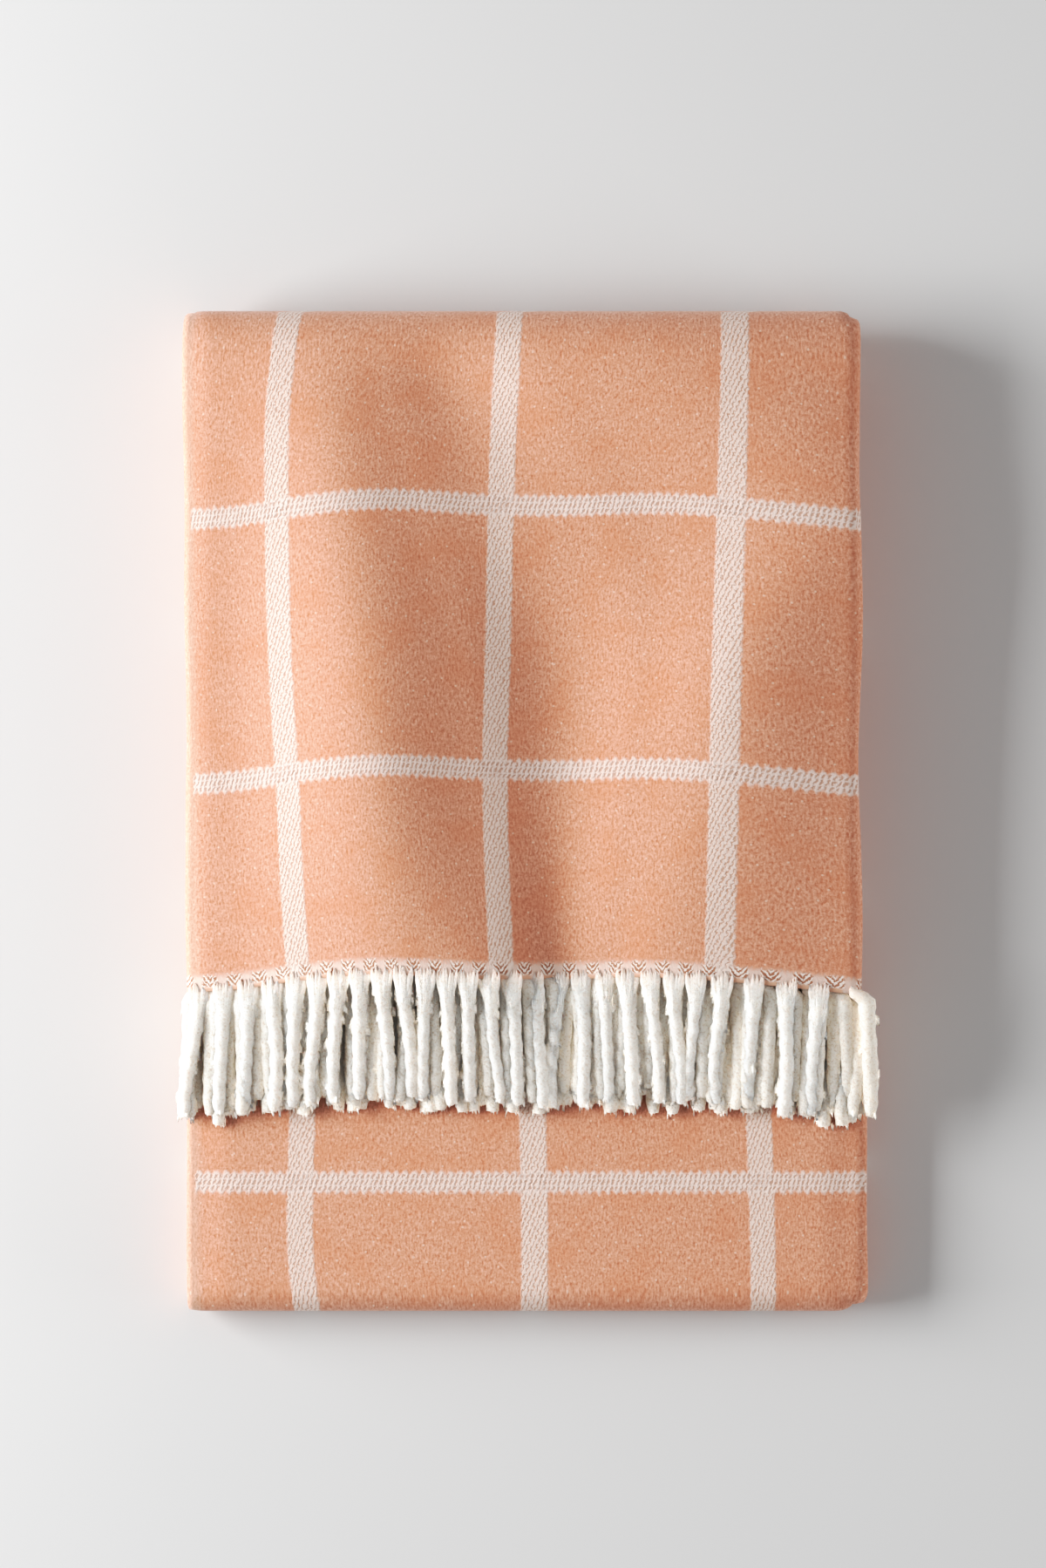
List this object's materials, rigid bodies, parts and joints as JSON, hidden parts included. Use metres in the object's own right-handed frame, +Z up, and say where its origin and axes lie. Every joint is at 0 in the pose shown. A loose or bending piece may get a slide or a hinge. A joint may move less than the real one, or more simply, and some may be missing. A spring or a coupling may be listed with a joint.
{
  "type": "folded throw blanket",
  "caption": "Brushed wool throw with a windowpane check and twisted fringes, folded flat for a shelf with its fringed end laid back over the front",
  "frame": {"origin": "on the surface that the throw lies on, under the middle of the folded throw's outline", "axes": "+Z up out of the front face, +Y from the bottom fold to the top fold that the flap turns over, +X across the front from the selvedge side to the folded side"},
  "size_m": [0.325, 0.488, 0.0513],
  "materials": {
    "brushed_wool": "brushed woven wool, peach weft on a white warp, matt with a short nap",
    "twisted_yarn": "soft twisted off-white wool yarn, matt and a little fuzzy"
  },
  "bodies": {
    "stack": {"stack_cloth": "brushed_wool"},
    "flap": {"flap_under_cloth": "brushed_wool", "flap_top_cloth": "brushed_wool", "top_hem_edge": "twisted_yarn", "fringe_row_1": "twisted_yarn", "fringe_row_2": "twisted_yarn", "fringe_row_3": "twisted_yarn", "fringe_row_4": "twisted_yarn", "fringe_row_5": "twisted_yarn", "fringe_row_6": "twisted_yarn", "fringe_row_7": "twisted_yarn"},
    "front_fringe": {"tassel_01": "twisted_yarn", "tassel_02": "twisted_yarn", "tassel_03": "twisted_yarn", "tassel_04": "twisted_yarn", "tassel_05": "twisted_yarn", "tassel_06": "twisted_yarn", "tassel_07": "twisted_yarn", "tassel_08": "twisted_yarn", "tassel_09": "twisted_yarn", "tassel_10": "twisted_yarn", "tassel_11": "twisted_yarn", "tassel_12": "twisted_yarn", "tassel_13": "twisted_yarn", "tassel_14": "twisted_yarn", "tassel_15": "twisted_yarn", "tassel_16": "twisted_yarn", "tassel_17": "twisted_yarn", "tassel_18": "twisted_yarn", "tassel_19": "twisted_yarn", "tassel_20": "twisted_yarn", "tassel_21": "twisted_yarn", "tassel_22": "twisted_yarn", "tassel_23": "twisted_yarn", "tassel_24": "twisted_yarn", "tassel_25": "twisted_yarn", "tassel_26": "twisted_yarn", "tassel_27": "twisted_yarn", "tassel_28": "twisted_yarn"}
  },
  "joints": [
    {"name": "flap_fold", "type": "hinge", "parent": "stack", "child": "flap", "pos_m": [0, 0.244, 0.02565], "axis": [-1, 0, 0], "range_deg": [0, 180]},
    {"name": "fringe_lift", "type": "hinge", "parent": "flap", "child": "front_fringe", "pos_m": [0, -0.08, 0.05145], "axis": [-1, 0, 0], "range_deg": [0, 165]}
  ]
}
